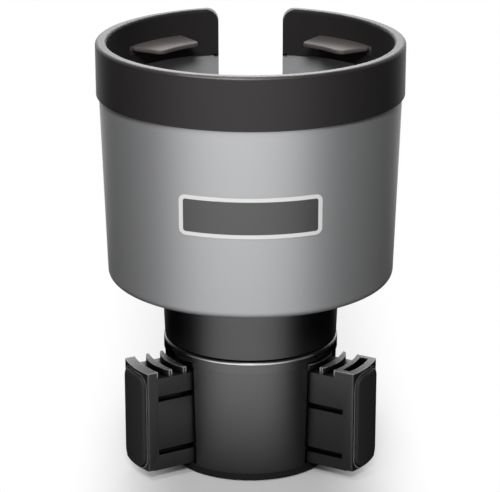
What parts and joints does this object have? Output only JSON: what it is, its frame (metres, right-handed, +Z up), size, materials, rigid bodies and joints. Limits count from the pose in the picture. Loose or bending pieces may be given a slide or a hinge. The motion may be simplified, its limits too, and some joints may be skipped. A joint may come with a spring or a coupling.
{
  "type": "cup holder expander",
  "caption": "Car cup holder expander: a wide cup with a handle slot and soft flaps in its mouth, on a narrow base whose legs slide out and grip when the cup is turned.",
  "frame": {"origin": "middle of the foot's underside, on the axis that the cup turns on", "axes": "+Z up along that axis, -Y towards the front label, +Y towards the handle slot, +X to the right seen from the front"},
  "size_m": [0.1144, 0.113, 0.1635],
  "materials": {
    "cup_silver": "satin silver-grey moulded plastic",
    "collar_black": "fine matt black moulded plastic",
    "neck_black": "satin black moulded plastic",
    "base_black": "satin black moulded plastic",
    "cover_black": "matt black moulded plastic",
    "leg_black": "fine-grained black moulded plastic",
    "inner_black": "plain black moulded plastic",
    "flap_rubber": "smooth matt black rubber",
    "pad_rubber": "matt black rubber",
    "soft_rubber": "matt black rubber",
    "label_face": "dark grey film with a light border, no lettering",
    "washer_nylon": "white nylon",
    "screw_steel": "zinc-plated steel"
  },
  "bodies": {
    "base": {"base_housing": "base_black", "bottom_cover": "cover_black", "cover_screws": "screw_steel", "foot_pad": "soft_rubber", "thrust_washer": "washer_nylon", "spindle_screw": "screw_steel", "spindle_washer": "screw_steel"},
    "cup": {"cup_shell": "cup_silver", "rim_collar": "collar_black", "grip_flap_1": "flap_rubber", "grip_flap_2": "flap_rubber", "grip_flap_3": "flap_rubber", "grip_flap_4": "flap_rubber", "cup_mat": "soft_rubber", "front_label": "label_face", "neck": "neck_black", "scroll_plate": "inner_black", "scroll_screws": "screw_steel", "cup_screws": "screw_steel"},
    "left_leg": {"leg_left": "leg_black", "leg_pad_left": "pad_rubber"},
    "right_leg": {"leg_right": "leg_black", "leg_pad_right": "pad_rubber"},
    "rear_leg": {"leg_rear": "leg_black", "leg_pad_rear": "pad_rubber"}
  },
  "joints": [
    {"name": "cup_turn", "type": "hinge", "parent": "base", "child": "cup", "pos_m": [0, 0, 0.0466], "axis": [0, 0, 1], "range_deg": [0, 906]},
    {"name": "left_leg_slide", "type": "slide", "parent": "base", "child": "left_leg", "axis": [0.866, 0.5, 0], "range_m": [0, 0.0151]},
    {"name": "right_leg_slide", "type": "slide", "parent": "base", "child": "right_leg", "axis": [-0.866, 0.5, 0], "range_m": [0, 0.0151]},
    {"name": "rear_leg_slide", "type": "slide", "parent": "base", "child": "rear_leg", "axis": [0, -1, 0], "range_m": [0, 0.0151]}
  ],
  "couplings": [
    {"joint": "left_leg_slide", "follows": "cup_turn", "m_per_rad": 0.00095493},
    {"joint": "right_leg_slide", "follows": "cup_turn", "m_per_rad": 0.00095493},
    {"joint": "rear_leg_slide", "follows": "cup_turn", "m_per_rad": 0.00095493}
  ]
}
